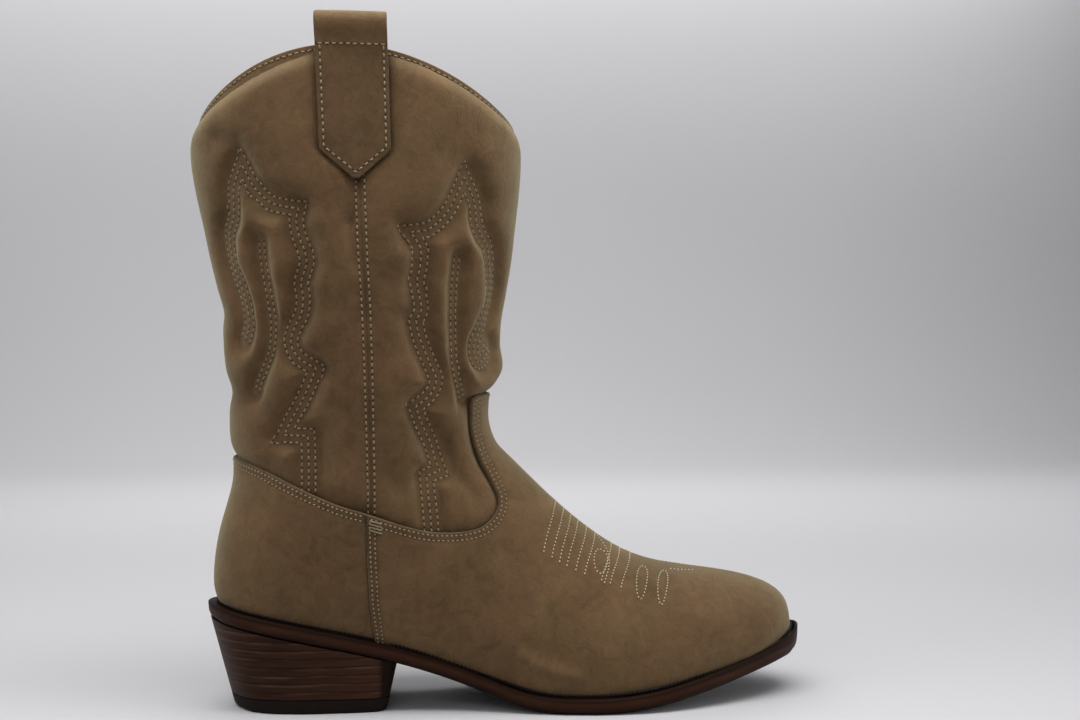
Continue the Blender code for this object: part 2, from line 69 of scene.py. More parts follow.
def add(tree, kind, inputs=None, **settings):
    """Add one node, with its settings, and set or link its inputs."""
    made = tree.nodes.new("ShaderNode" + kind)
    for name, value in settings.items():
        setattr(made, name, value)
    for name, value in (inputs or {}).items():
        if isinstance(value, bpy.types.NodeSocket):
            tree.links.new(value, made.inputs[name])
        else:
            made.inputs[name].default_value = value
    return made


def new_material(name, **sockets):
    """Start a material, set the shader's plain values and return the place that its patterns hang on."""
    material = bpy.data.materials.new(name)
    material.use_nodes = True
    tree = material.node_tree
    shader = tree.nodes["Principled BSDF"]
    for socket, value in sockets.items():
        shader.inputs[socket.replace("_", " ")].default_value = value
    return material, tree, shader, add(tree, "TexCoord").outputs["Object"]


def patches(tree, place, size, detail=2.0, **inputs):
    """Noise in patches of about one size."""
    inputs = {"Vector": place, "Scale": 1 / size, "Detail": detail, **inputs}
    return add(tree, "TexNoise", inputs).outputs["Fac"]


def ramp(tree, value, low, high, start=0.0, end=1.0):
    """Stretch one range of a value to another."""
    return add(tree, "MapRange", {0: value, 1: low, 2: high, 3: start, 4: end}).outputs[0]


def maths(tree, operation, *values):
    """A sum of shader values."""
    return add(tree, "Math", dict(enumerate(values)), operation=operation).outputs[0]


def blend(tree, part, first, second, **settings):
    """Mix two colours, each a hex value or another node's result."""
    pair = [colour(c) if isinstance(c, str) else c for c in (first, second)]
    mix = add(tree, "Mix", {0: part, 6: pair[0], 7: pair[1]}, data_type="RGBA", **settings)
    return mix.outputs[2]


def painted(tree, name):
    """A value stored at the vertices."""
    return add(tree, "Attribute", attribute_name=name).outputs["Fac"]


def bump(tree, shader, height, strength, depth, **settings):
    """Raise a pattern on a material, over the one that was raised before."""
    inputs = {"Height": height, "Strength": strength, "Distance": depth}
    made = add(tree, "Bump", inputs, **settings)
    for link in shader.inputs["Normal"].links:
        tree.links.new(link.from_socket, made.inputs["Normal"])
    tree.links.new(made.outputs["Normal"], shader.inputs["Normal"])


def mottled(name, deep, pale, size, detail=2.0, **sockets):
    """A material that wanders between two shades in patches of one size."""
    material, tree, shader, place = new_material(name, **sockets)
    patch = patches(tree, place, size, detail)
    tree.links.new(blend(tree, patch, deep, pale), shader.inputs["Base Color"])
    return material, tree, shader, place, patch


def make_piece(name, bm, material):
    """Turn a bmesh into a smooth-shaded object at the origin."""
    mesh = bpy.data.meshes.new(name)
    bm.to_mesh(mesh)
    bm.free()
    mesh.shade_smooth()
    mesh.materials.append(material)
    piece = bpy.data.objects.new(name, mesh)
    bpy.context.scene.collection.objects.link(piece)
    print(name, "has", sum(len(p.vertices) - 2 for p in mesh.polygons), "triangles")
    return piece


# %% Sweep
SWEEP_WIDTH = 9.0
SWEEP_FRONT = -4.0
SWEEP_BACK = 2.2
SWEEP_BEND = 0.9
SWEEP_HEIGHT = 4.0
BEND_STEPS = 16
PAPER_CLOUD = 600 * MM
paper = mottled("sweep_paper", "#bdbcbf", "#c3c2c4", PAPER_CLOUD, Roughness=0.9)[0]

bm = bmesh.new()
ends = [bm.verts.new((side * SWEEP_WIDTH / 2, SWEEP_FRONT, 0)) for side in (-1, 1)]
edge = bm.edges.new(ends)
steps = [Vector((0, SWEEP_BACK - SWEEP_BEND - SWEEP_FRONT, 0))]
for k in range(BEND_STEPS):
    turn = math.pi / 2 * (k + 0.5) / BEND_STEPS
    stride = SWEEP_BEND * math.pi / 2 / BEND_STEPS
    steps.append(Vector((0, math.cos(turn), math.sin(turn))) * stride)
steps.append(Vector((0, 0, SWEEP_HEIGHT)))
for step in steps:
    grown = bmesh.ops.extrude_edge_only(bm, edges=[edge])["geom"]
    edge = [g for g in grown if isinstance(g, bmesh.types.BMEdge) and len(g.link_faces) == 1][0]
    bmesh.ops.translate(bm, vec=step, verts=list(edge.verts))
bmesh.ops.recalc_face_normals(bm, faces=bm.faces)
sweep = make_piece("studio_sweep", bm, paper)

# %% [markdown]
# ## Camera and lights
#
# The photo was taken level, a little behind the middle of the outer side. The lens and place below put
# the solids over the photo.

# %% Camera
IMAGE_WIDTH = 1080
FOCAL_PIXELS = 1406
SENSOR = 36.0
VIEW_TURN = math.radians(7.5)
STAND_BACK = 650
STEP_RIGHT = 12.5
EYE_HEIGHT = 154.5
AIM_X = 2.6

forward = Vector((math.sin(VIEW_TURN), math.cos(VIEW_TURN), 0))
rightward = Vector((math.cos(VIEW_TURN), -math.sin(VIEW_TURN), 0))
lens = bpy.data.cameras.new("photo_camera")
lens.sensor_width = SENSOR
lens.lens = SENSOR * FOCAL_PIXELS / IMAGE_WIDTH
lens.clip_start = 0.01
camera = bpy.data.objects.new("photo_camera", lens)
camera.location = (forward * -STAND_BACK + rightward * STEP_RIGHT + Vector((AIM_X, 0, EYE_HEIGHT))) * MM
camera.rotation_euler = (math.pi / 2, 0, -VIEW_TURN)
bpy.context.scene.collection.objects.link(camera)
bpy.context.scene.camera = camera
print("camera stands at", tuple(camera.location))

# %% Lights
bpy.context.scene.view_settings.view_transform = "Standard"


def soft_light(name, place, aim, size, power, spread=180):
    """Add one broad light that looks at a point."""
    light = bpy.data.lights.new(name, "AREA")
    light.shape = "RECTANGLE"
    light.size, light.size_y = size
    light.energy = power
    light.spread = math.radians(spread)
    lamp = bpy.data.objects.new(name, light)
    lamp.location = place
    lamp.rotation_euler = (Vector(aim) - Vector(place)).to_track_quat("-Z", "Y").to_euler()
    bpy.context.scene.collection.objects.link(lamp)


soft_light("tent_top", (-0.07, -0.12, 0.56), (-0.07, -0.11, 0.0), (0.95, 0.26), 4.5)
soft_light("tent_front", (-0.4, -1.5, 1.1), (0, 0, 0.15), (1.4, 0.8), 3.3)
soft_light("tent_right", (1.6, -0.5, 0.42), (0, 0, 0.1), (1.0, 0.8), 7.6)
soft_light("tent_left", (-1.5, -0.3, 0.9), (0, 0, 0.2), (1.0, 1.0), 4.0)
soft_light("tent_back", (0.1, 0.85, 1.0), (0.1, 0.95, 0.0), (1.6, 0.5), 6.6, spread=130)
soft_light("tent_wall", (-0.35, 0.9, 2.0), (0.0, 2.2, 0.9), (2.4, 0.8), 8.8)
soft_light("tent_high", (0.0, 1.9, 1.2), (0.0, 2.3, 0.8), (3.0, 0.3), 9.5)
world = bpy.data.worlds.new("tent")
world.use_nodes = True
surround = world.node_tree.nodes["Background"]
surround.inputs["Color"].default_value = colour("#e6e7ea")
surround.inputs["Strength"].default_value = 0.18
bpy.context.scene.world = world
print("seven soft lights and a pale surround")

# %% [markdown]
# ## Suede
#
# Suede is split hide, sanded until its fibres stand up as a short nap. It has no gloss. The eye sees
# cloudy patches where the nap lies differently, a fine fuzz, and a paler rim, from sheen, where the
# fibres catch light at a grazing angle. One vertex value darkens the stitched troughs, creases and the
# gaps along edges with painted shade, and another pales the padding's shoulder with a painted highlight.

# %% Suede material
SUEDE_CLOUD = 26 * MM
SUEDE_HUE = 34 * MM
SUEDE_BRUSH = 7 * MM
# Real nap fibres are about 0.1 mm. They are drawn as 0.7 mm tufts, the finest that shows in the render.
SUEDE_NAP = 0.7 * MM
suede, tree, shader, place = new_material(
    "taupe_suede", Roughness=0.93, IOR=1.45, Specular_IOR_Level=0.25, Sheen_Weight=0.4,
    Sheen_Roughness=0.45, Sheen_Tint=colour("#dcdeb8"))
cloud = patches(tree, place, SUEDE_CLOUD, 3.0, Roughness=0.6, Distortion=0.6)
brush = patches(tree, place, SUEDE_BRUSH, 3.0, Roughness=0.65, Distortion=1.2)
nap = patches(tree, place, SUEDE_NAP, 4.0, Roughness=0.75)
tinge = patches(tree, place, SUEDE_HUE, 3.0, Roughness=0.6)
lay = maths(tree, "MULTIPLY", brush, 1.2)
lay = maths(tree, "MULTIPLY_ADD", ramp(tree, cloud, 0.32, 0.68), 0.45, lay)
lay = maths(tree, "ADD", lay, nap)
hide = blend(tree, ramp(tree, lay, 0.87, 1.75), "#533f2a", "#6e573e")
hue = blend(tree, ramp(tree, tinge, 0.38, 0.62), "#fff5ed", "#f8f6e9")
hide = blend(tree, 1.0, hide, hue, blend_type="MULTIPLY")
# painted highlight: the padding's shoulder is paler, where light from above falls on it
hide = blend(tree, painted(tree, "painted_highlight"), hide, "#a38c6b")
# painted shade: darker in the stitched troughs, the creases and the gaps along edges
hide = blend(tree, painted(tree, "painted_shade"), hide, "#2a1d12")
tree.links.new(hide, shader.inputs["Base Color"])
bump(tree, shader, brush, 0.5, 0.5 * MM)
bump(tree, shader, nap, 0.7, 0.25 * MM)
print("suede tufts are drawn", SUEDE_NAP / MM, "mm wide")

# %% [markdown]
# ## The skin of the upper
#
# The solid upper is a faceted wall. A copy of it is merged, and its triangles are joined to the faces of
# four sides that they came from. Sharp edges mark the collar rim and the lasting edge, so a flood from
# one face finds the whole outside. Subdivision then turns the facets into a smooth skin, which the next
# pieces all start from.

# %% Outer and inner skin
MERGE = 0.02 * MM
RIM_ANGLE = math.radians(40)
SHAFT_AXIS_X = -66.0
SHAFT_MIDDLE_Z = 200


def merged_copy(node):
    """A welded copy of a solid, with its triangles joined in pairs."""
    bm = bmesh.new()
    bm.from_mesh(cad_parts[node].data)
    bmesh.ops.remove_doubles(bm, verts=bm.verts, dist=MERGE)
    bmesh.ops.join_triangles(
        bm, faces=bm.faces, angle_face_threshold=RIM_ANGLE, angle_shape_threshold=RIM_ANGLE)
    return bm


def flood(seed):
    """Every face that can be reached from one without crossing a sharp edge."""
    found = {seed}
    waiting = [seed]
    while waiting:
        for edge in waiting.pop().edges:
            if edge.calc_face_angle(0) > RIM_ANGLE:
                continue
            fresh = [face for face in edge.link_faces if face not in found]
            found.update(fresh)
            waiting.extend(fresh)
    return found


def evaluated(holder):
    """A bmesh of what an object's settings make. The object itself goes."""
    bpy.context.scene.collection.objects.link(holder)
    made = holder.evaluated_get(bpy.context.evaluated_depsgraph_get())
    out = bmesh.new()
    out.from_mesh(made.to_mesh())
    made.to_mesh_clear()
    bpy.data.objects.remove(holder)
    return out


def subdivided(bm, levels):
    """The same surface after smooth subdivision."""
    mesh = bpy.data.meshes.new("rough")
    bm.to_mesh(mesh)
    bm.free()
    rough = bpy.data.objects.new("rough", mesh)
    smoother = rough.modifiers.new("smoother", "SUBSURF")
    smoother.levels = levels
    out = evaluated(rough)
    bpy.data.meshes.remove(mesh)
    out.normal_update()
    return out


def skin_of_upper(outer, levels):
    """The smooth outside or inside of the upper's wall."""
    bm = merged_copy("upper")
    kept = flood(min(bm.faces, key=lambda face: face.calc_center_median().y))
    if not outer:
        middle = Vector((SHAFT_AXIS_X, 0, SHAFT_MIDDLE_Z)) * MM
        others = [face for face in bm.faces if face not in kept]
        kept = flood(min(others, key=lambda face: (face.calc_center_median() - middle).length))
    bmesh.ops.delete(bm, geom=[face for face in bm.faces if face not in kept], context="FACES")
    return subdivided(bm, levels)


skin = skin_of_upper(True, 3)
skin_tree = BVHTree.FromBMesh(skin)
print("the skin has", len(skin.faces), "faces")

# %% [markdown]
# ## Chart of the stitching
#
# The quilting on the shaft is a flame pattern: three close rows that jump from tip to tip, with two rows
# up the middle. It is charted the way a maker would mark the hide: by the turn from the side seam, in
# degrees, with the front positive, and the height over the floor, in millimetres. The inner side carries
# the same chart, mirrored.

# %% Flame chart
BACK_FLAME = [
    [(-67, 163), (-63.4, 169), (-63.5, 177), (-65.8, 186), (-69, 196), (-68, 206), (-66.5, 211),
     (-63.5, 215), (-62, 221), (-60.7, 229), (-56.1, 238)],
    [(-56.1, 238), (-52, 229), (-48.9, 225), (-44.2, 221), (-38.9, 219.5), (-32.2, 218.5)],
    [(-32.2, 218.5), (-33.5, 213), (-32.3, 206), (-30.4, 201), (-29.5, 196), (-30.5, 193), (-33, 187),
     (-32.4, 181), (-33.8, 174), (-37.2, 169), (-40.2, 162), (-37, 155.5), (-27.8, 150.5)],
    [(-27.8, 150.5), (-35.7, 138), (-41.9, 130), (-47.4, 122)],
    [(-47.4, 122), (-34.2, 121.8)],
    [(-34.2, 121.8), (-33.8, 97)],
]
BACK_VEIN = [[(-50.6, 205), (-50.8, 193), (-49.6, 180), (-48.7, 170), (-51, 158), (-59, 146), (-62, 141)]]
FRONT_FLAME = [
    [(73.4, 161), (71, 156), (65.5, 153.5), (62, 157), (62.3, 162), (65.4, 167), (69, 175), (69.6, 186),
     (67, 195), (63.5, 204), (58.9, 209)],
    [(58.9, 209), (55.8, 214), (54.8, 219), (53, 225), (48, 233.5)],
    [(48, 233.5), (46.3, 229), (43.7, 223), (40.8, 218), (36.1, 213), (31, 210), (23.5, 209)],
    [(23.5, 209), (27, 205), (29.1, 201), (29, 194), (27.9, 188), (29.8, 181), (31, 176), (28.7, 171)],
    [(28.7, 171), (30.7, 165), (33.8, 159), (37.9, 152), (40.8, 147), (40.7, 142.5), (37.9, 138.5),
     (31.2, 134)],
    [(31.2, 134), (34.1, 129), (38.5, 123), (42.7, 117), (47.2, 106)],
    [(47.2, 106), (39.6, 104)],
    [(39.6, 104), (40.2, 79)],
]
FRONT_VEIN = [[(46.9, 199), (46.7, 185), (49, 167), (51.5, 149), (58.5, 137)]]
SIDE_SEAM = [[(-2.5, 245), (-2, 228), (-0.7, 199), (1, 176), (3, 137), (5, 90), (5.2, 82)]]

CHART_STEP = 0.8
RAY_START = 0.2


def on_shaft(turn, height, side, surface=None):
    """The point of the skin at a turn and height. The outer side is 1, the inner side -1."""
    angle = math.radians(turn)
    outward = Vector((math.sin(angle), -side * math.cos(angle), 0))
    start = Vector((SHAFT_AXIS_X, 0, height)) * MM
    return (surface or skin_tree).ray_cast(start + outward * RAY_START, -outward)[0]


def smooth_stroke(points):
    """A curve through the points, about one point for each CHART_STEP."""
    marks = [Vector(p) for p in points]
    run = [marks[0] * 2 - marks[1], *marks, marks[-1] * 2 - marks[-2]]
    out = []
    for before, start, end, after in zip(run, run[1:], run[2:], run[3:]):
        count = max(2, round((end - start).length / CHART_STEP))
        for k in range(count):
            t = k / count
            bend = (end - before) * t + (2 * before - 5 * start + 4 * end - after) * t ** 2
            out.append(start + (bend + (3 * start - before - 3 * end + after) * t ** 3) / 2)
    return [*out, marks[-1]]


def charted(strokes, side, surface=None):
    """Each stroke as points on the bare skin, or on a surface made from it."""
    return [[on_shaft(turn, height, side, surface) for turn, height in smooth_stroke(stroke)]
            for stroke in strokes]


def joined(strokes):
    """Strokes that follow on from each other, as one line with corners."""
    return [*strokes[0], *(point for stroke in strokes[1:] for point in stroke[1:])]


SIDES = (1, -1)
flame_lines = [joined(charted(flame, side)) for side in SIDES for flame in (BACK_FLAME, FRONT_FLAME)]
vein_lines = [line for side in SIDES for vein in (BACK_VEIN, FRONT_VEIN) for line in charted(vein, side)]
seam_lines = [line for side in SIDES for line in charted(SIDE_SEAM, side)]
print("charted", len(flame_lines), "flame lines,", len(vein_lines), "veins,", len(seam_lines), "side seams")

# %% [markdown]
# ## Edges of the vamp and the counter
#
# The vamp is the hide over the foot, and the counter is the one round the heel. Both lie over the shaft,
# with folded edges. Their edges are drawn in side view, in millimetres from the back of the sole and over
# the floor, and every point of the skin gets its distance from the nearest edge. Positive is under the
# layer.

# %% Side-view distances
VAMP_EDGE = [(70.2, 88.4), (84.5, 83.4), (98, 80), (111, 79.4), (120, 81), (126.2, 85.6), (128.2, 92),
             (125.2, 99.8), (119.6, 110.5), (116.2, 122), (115.6, 132.5), (117.2, 138), (128, 140.4)]
COUNTER_EDGE = [(-20, 124), (12, 112), (26, 107), (42, 99.4), (58, 92.3), (70.2, 88.4), (84.5, 83.4)]
VAMP_SEAM = [(74.8, 20), (74.2, 34), (72, 49), (70.8, 68.5)]
FAR = 400


def side_view(bm):
    """Each vertex as millimetres from the back of the sole and over the floor."""
    co = np.array([v.co for v in bm.verts]) / MM
    return np.stack([co[:, 0] - REAR_X, co[:, 2]], axis=1)


def line_distance(spots, line):
    """How far each spot is from a line of points."""
    best = np.full(len(spots), 1e9)
    for start, end in zip(line, line[1:]):
        start, along = np.array(start), np.array(end) - np.array(start)
        t = np.clip(((spots - start) @ along) / (along @ along), 0, 1)
        best = np.minimum(best, np.linalg.norm(spots - start - t[:, None] * along, axis=1))
    return best


def inside(spots, loop):
    """Which spots lie inside a closed loop of points."""
    result = np.zeros(len(spots), bool)
    x, z = spots[:, 0], spots[:, 1]
    for (x0, z0), (x1, z1) in zip(loop, [*loop[1:], loop[0]]):
        if z0 == z1:
            continue
        crosses = (z0 > z) != (z1 > z)
        result ^= crosses & (x < x0 + (z - z0) * (x1 - x0) / (z1 - z0))
    return result


vamp_line = [tuple(p) for p in smooth_stroke(VAMP_EDGE)] + [(FAR, 140.4)]
seam_down = [(VAMP_SEAM[0][0], -FAR), *VAMP_SEAM]
vamp_loop = [*vamp_line, (FAR, -FAR), *seam_down]
counter_line = [tuple(p) for p in smooth_stroke(COUNTER_EDGE)]
counter_loop = [*counter_line, (counter_line[-1][0], -FAR), (-FAR, -FAR), (-FAR, 140)]


def depth_inside(spots, line, loop):
    """Distance from a line, negative outside its loop."""
    away = line_distance(spots, line)
    return np.where(inside(spots, loop), away, -away)


def vamp_depth(spots):
    """Distance inside the vamp's edge."""
    return depth_inside(spots, [*seam_down, *vamp_line], vamp_loop)


def counter_depth(spots):
    """Distance inside the counter's upper edge."""
    return depth_inside(spots, counter_line, counter_loop)


spots = side_view(skin)
skin_vamp = vamp_depth(spots)
skin_counter = counter_depth(spots)
print("vamp covers", int((skin_vamp > 0).sum()), "points, counter", int((skin_counter > 0).sum()))

# %% [markdown]
# ## Quilted shaft
#
# Under the shaft's suede lies a thin padding. Each sewn row pulls it flat, so the rows lie in soft
# troughs and the hide swells between them. A cloth simulation could find that shape, but its folds would
# fall where it likes. Here each point of the skin is raised or sunk by its distance from the charted
# rows, so the troughs are where the photo has them. Creases are placed as long shallow troughs.

# %% Cutting a skin
NEAREST_CUT = 0.02


def cut_at(bm, layer, level):
    """Split edges and faces where the layer's value passes a level, and return the new vertices."""
    crossing = [e for e in bm.edges if (e.verts[0][layer] < level) != (e.verts[1][layer] < level)]
    fresh = []
    for edge in crossing:
        low, high = edge.verts[0][layer], edge.verts[1][layer]
        part = min(max((level - low) / (high - low), NEAREST_CUT), 1 - NEAREST_CUT)
        vert = bmesh.utils.edge_split(edge, edge.verts[0], part)[1]
        vert[layer] = level
        fresh.append(vert)
    bmesh.ops.connect_verts(bm, verts=fresh)
    return fresh


# %% Sizes of the padding
PAD_RISE = 3.4
PAD_REACH = 4.6
TROUGH = 1.9
DEEPEST = -1.6
FLAME_HALF = 3.6
VEIN_HALF = 1.7
LOW_PAD = 0.45
PAD_FADE = (90, 150)
COLLAR_BAND = 2.2
COLLAR_BAND_BACK = 2.6
BACK_TURN = -48
BACK_SPREAD = 26
COLLAR_ROUND = 9.0
COLLAR_LOOPS = (-0.8, 0.0, 0.5, 1.2, 2.2, 3.6, 5.4)
PUCKER = 0.45
PUCKER_SIZE = 9.0
SEAM_GROOVE = 0.5
SEAM_DIP = 0.9
GROOVE_WIDTH = 0.7
DIP_WIDTH = 4.5
PAD_SETTLE = 0.4
SEAM_LOOPS = (-2.6, -1.0, -0.3, 0.3, 1.0, 2.6)
UNEVEN = 0.5
UNEVEN_SIZE = 24.0
CREASE_SHADE = 0.12
# painted highlight on the padding's shoulder below the collar, stronger towards the back
SHOULDER_HIGHLIGHT = 0.18
SHOULDER_HIGHLIGHT_BACK = 0.05
SHOULDER_HIGHLIGHT_INSET = 2.5
print("the padding stands", PAD_RISE, "mm off the skin")

# %% Strap outline and creases
STRAP_X = -71.8
STRAP_LEAN = 0.035
STRAP_TOP_Z = 302
STRAP_SHOULDER_Z = 243
STRAP_TIP_Z = 231
STRAP_TOP_HALF = 15.2
STRAP_SHOULDER_HALF = 14.9


def strap_place(across, height):
    """A place on a pull strap in side view, from its middle line."""
    return STRAP_X - REAR_X + (STRAP_TOP_Z - height) * STRAP_LEAN + across, height


strap_outline = [strap_place(*mark) for mark in (
    (-STRAP_TOP_HALF, STRAP_TOP_Z), (-STRAP_SHOULDER_HALF, STRAP_SHOULDER_Z), (0, STRAP_TIP_Z),
    (STRAP_SHOULDER_HALF, STRAP_SHOULDER_Z), (STRAP_TOP_HALF, STRAP_TOP_Z))]

# turn and height of each end, then width and depth in millimetres, a ridge where negative
CREASES = [
    ((-88, 142), (-55, 136), 6.0, 1.4), ((-92, 178), (-74, 172), 5.0, 0.8),
    ((86, 160), (70, 156), 5.0, 0.5), ((-20, 134), (16, 128), 8.0, 0.7),
    ((-18, 178), (14, 182), 10.0, 0.6), ((-64, 250), (-56, 247), 4.0, 1.9),
    ((-6, 230), (-7, 213), 2.8, 1.3), ((-7, 213), (-5, 196), 2.6, 0.8),
    ((50, 120), (56, 104), 4.0, 1.4), ((57, 100), (60, 95), 3.5, 1.1),
    ((-26, 125), (-24, 104), 4.5, 1.0), ((-54, 110), (-41, 106), 4.5, 0.9),
    ((-28, 98), (0, 91), 3.5, 0.9), ((-54, 210), (-52, 203), 3.2, 0.9),
    ((48, 200), (50, 194), 3.0, 1.0), ((50, 241), (59, 225), 4.0, 1.2),
    ((-50, 229), (-29, 221), 3.0, 0.9), ((16, 213), (35, 212), 3.0, 0.8),
    ((22, 175), (37, 170), 3.0, 0.9), ((14, 107), (25, 97), 3.5, 0.8),
    ((-14, 212), (-7, 190), 4.0, -0.8), ((15, 207), (26, 189), 6.0, -0.7),
    ((-61, 167), (-60, 147), 4.0, 1.0), ((-24, 152), (-17, 148), 3.0, 0.7),
]
print(len(CREASES), "creases on each side")

# %% Nearest rows, rim and creases
RIM_STEPS = 6
SHIN_Z = 150


def nearest_by(lines):
    """A quick finder of the nearest point of some lines."""
    points = [p for line in lines for p in line]
    finder = KDTree(len(points))
    for k, p in enumerate(points):
        finder.insert(p, k)
    finder.balance()
    return finder


def rim_verts(bm, top):
    """The open edge of a skin, at the collar or at the sole."""
    return [v for v in bm.verts if v.is_boundary and (v.co.z > SHIN_Z * MM) == top]


def rim_points(bm, top):
    """Places along an open edge."""
    return [v.co.copy() for v in rim_verts(bm, top)]


def ring_order(points):
    """Sort the points of a rim by their turn round the shaft."""
    return sorted(points, key=lambda p: math.atan2(p.y, p.x - SHAFT_AXIS_X * MM))


flame_finder = nearest_by(flame_lines)
vein_finder = nearest_by(vein_lines)
outer_rim = ring_order(rim_points(skin, True))
rim_loop = [*outer_rim, outer_rim[0]]
fine_rim = [p.lerp(q, k / RIM_STEPS) for p, q in zip(rim_loop, rim_loop[1:]) for k in range(RIM_STEPS)]
collar_finder = nearest_by([fine_rim])
crease_lines = []
for start, end, width, depth in CREASES:
    for side in SIDES:
        line = [on_shaft(t, h, side) for t, h in smooth_stroke([start, end])]
        crease_lines.append((nearest_by([line]), width, depth))
print("the collar's rim has", len(outer_rim), "points")


# %% Relief of the shaft
def bell(distance, width):
    """1 in the middle of a smooth bump, near 0 at twice its width."""
    return math.exp(-(distance / width) ** 2)


def swell(distance, reach, power=1.3):
    """0 at a sewn row, 1 well away from it."""
    return 1 - math.exp(-(max(distance, 0) / reach) ** power)


def collar_band(point):
    """Width of the flat edge above the padding. It is wider towards the back."""
    turn = math.degrees(math.atan2(point.x - SHAFT_AXIS_X * MM, abs(point.y)))
    return COLLAR_BAND + COLLAR_BAND_BACK * bell(turn - BACK_TURN, BACK_SPREAD)


def shoulder(collar):
    """0 at the collar's flat band, then a quarter round up to the full padding."""
    inset = min(max(collar, 0) / COLLAR_ROUND, 1)
    return math.sqrt(1 - (1 - inset) ** 2)


def shaft_relief(point, under, seam, strap, collar):
    """How far the padded hide stands out, in millimetres, and how much painted shade and painted highlight
    it gets there.
    """
    sewn = min(flame_finder.find(point)[2] / MM - FLAME_HALF, vein_finder.find(point)[2] / MM - VEIN_HALF)
    pad = PAD_RISE * float(np.interp(point.z / MM, PAD_FADE, (LOW_PAD, 1.0)))
    pad *= (0.6 + 0.4 * swell(strap, 9.0)) * swell(strap, 1.0) * swell(-under, 3.0)
    rise = (pad * swell(sewn, PAD_REACH) - PAD_SETTLE) * shoulder(collar)
    rise -= TROUGH * (1 - swell(sewn, 3.0, 2.0)) * shoulder(collar)
    rise -= SEAM_GROOVE * bell(seam, GROOVE_WIDTH) * shoulder(collar)
    rise -= SEAM_DIP * bell(seam, DIP_WIDTH) * shoulder(collar)
    creased = 0.0
    for finder, width, depth in crease_lines:
        sunk = depth * bell(finder.find(point)[2] / MM, width)
        rise -= sunk
        creased += max(sunk, 0)
    rise += UNEVEN * noise.noise(point / (UNEVEN_SIZE * MM)) * swell(collar, 6)
    near_row = bell(max(sewn, 0), 10)
    rise += PUCKER * noise.noise(point / (PUCKER_SIZE * MM)) * near_row * swell(collar, 6)
    # painted shade near the sewn rows, in the side seam and creases, under the collar roll, along the vamp
    # and counter edges and beside the strap
    painted_shade = 0.12 * (1 - swell(sewn, 2.5)) + 0.25 * bell(seam, 0.6) + CREASE_SHADE * creased
    painted_shade += 0.35 * bell(collar, 0.7) + 0.55 * bell(under, 0.7) + 0.3 * bell(strap, 0.6)
    # painted highlight on the up-facing shoulder
    painted_highlight = SHOULDER_HIGHLIGHT + SHOULDER_HIGHLIGHT_BACK * (collar_band(point) - COLLAR_BAND)
    painted_highlight *= bell(collar - SHOULDER_HIGHLIGHT_INSET, SHOULDER_HIGHLIGHT_INSET)
    return max(rise, DEEPEST), min(painted_shade, 1.0), painted_highlight


# %% Quilted shaft
TUCK = 6.0
shaft = skin.copy()
painted_shade_layer, painted_highlight_layer, seam_layer, collar_layer = [
    shaft.verts.layers.float.new(name) for name in ("painted_shade", "painted_highlight", "seam", "collar")]
seam_z, seam_x = zip(*sorted((p.z, p.x) for p in seam_lines[0]))
for vert in shaft.verts:
    vert[seam_layer] = (vert.co.x - np.interp(vert.co.z, seam_z, seam_x)) / MM
for level in SEAM_LOOPS:
    cut_at(shaft, seam_layer, level)
for vert in shaft.verts:
    vert[collar_layer] = collar_finder.find(vert.co)[2] / MM - collar_band(vert.co)
for level in COLLAR_LOOPS:
    cut_at(shaft, collar_layer, level)
shaft.normal_update()
spots = side_view(shaft)
covered = np.maximum(vamp_depth(spots), counter_depth(spots))
off_strap = -depth_inside(spots, strap_outline, strap_outline)
shaft.verts.index_update()
for k, vert in enumerate(shaft.verts):
    if covered[k] < TUCK + 3:
        found = shaft_relief(vert.co, covered[k], vert[seam_layer], off_strap[k], vert[collar_layer])
        rise, vert[painted_shade_layer], vert[painted_highlight_layer] = found
        vert.co += vert.normal * rise * MM
hidden = [face for face in shaft.faces if min(covered[v.index] for v in face.verts) > TUCK]
bmesh.ops.delete(shaft, geom=hidden, context="FACES")
shaft.normal_update()
shaft_tree = BVHTree.FromBMesh(shaft)
shaft_piece = make_piece("quilted_shaft", shaft, suede)
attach(shaft_piece, "root")
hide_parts("upper")

# %% [markdown]
# ## Lining and collar roll
#
# Inside, the boot is lined with thin tan leather from the collar down to the insole. The suede is turned
# over the collar's edge, which makes a narrow roll all round. The lining is the inner skin of the solid.
# The roll is a curve along the rim with a round section, wide enough to close over the wall.

# %% Lining
LINING_GRAIN = 1.4 * MM
LINING_PATCH = 18 * MM
lining_leather, tree, shader, place, _ = mottled(
    "lining_leather", "#8f7350", "#b19468", LINING_PATCH, 3.0, Roughness=0.62, IOR=1.45,
    Specular_IOR_Level=0.35)
grain = add(tree, "TexVoronoi", {"Vector": place, "Scale": 1 / LINING_GRAIN})
bump(tree, shader, grain.outputs["Distance"], 0.25, 0.15 * MM)

lining = skin_of_upper(False, 2)
inner_finder = nearest_by([rim_points(lining, True)])
lining_piece = make_piece("lining", lining, lining_leather)
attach(lining_piece, "root")

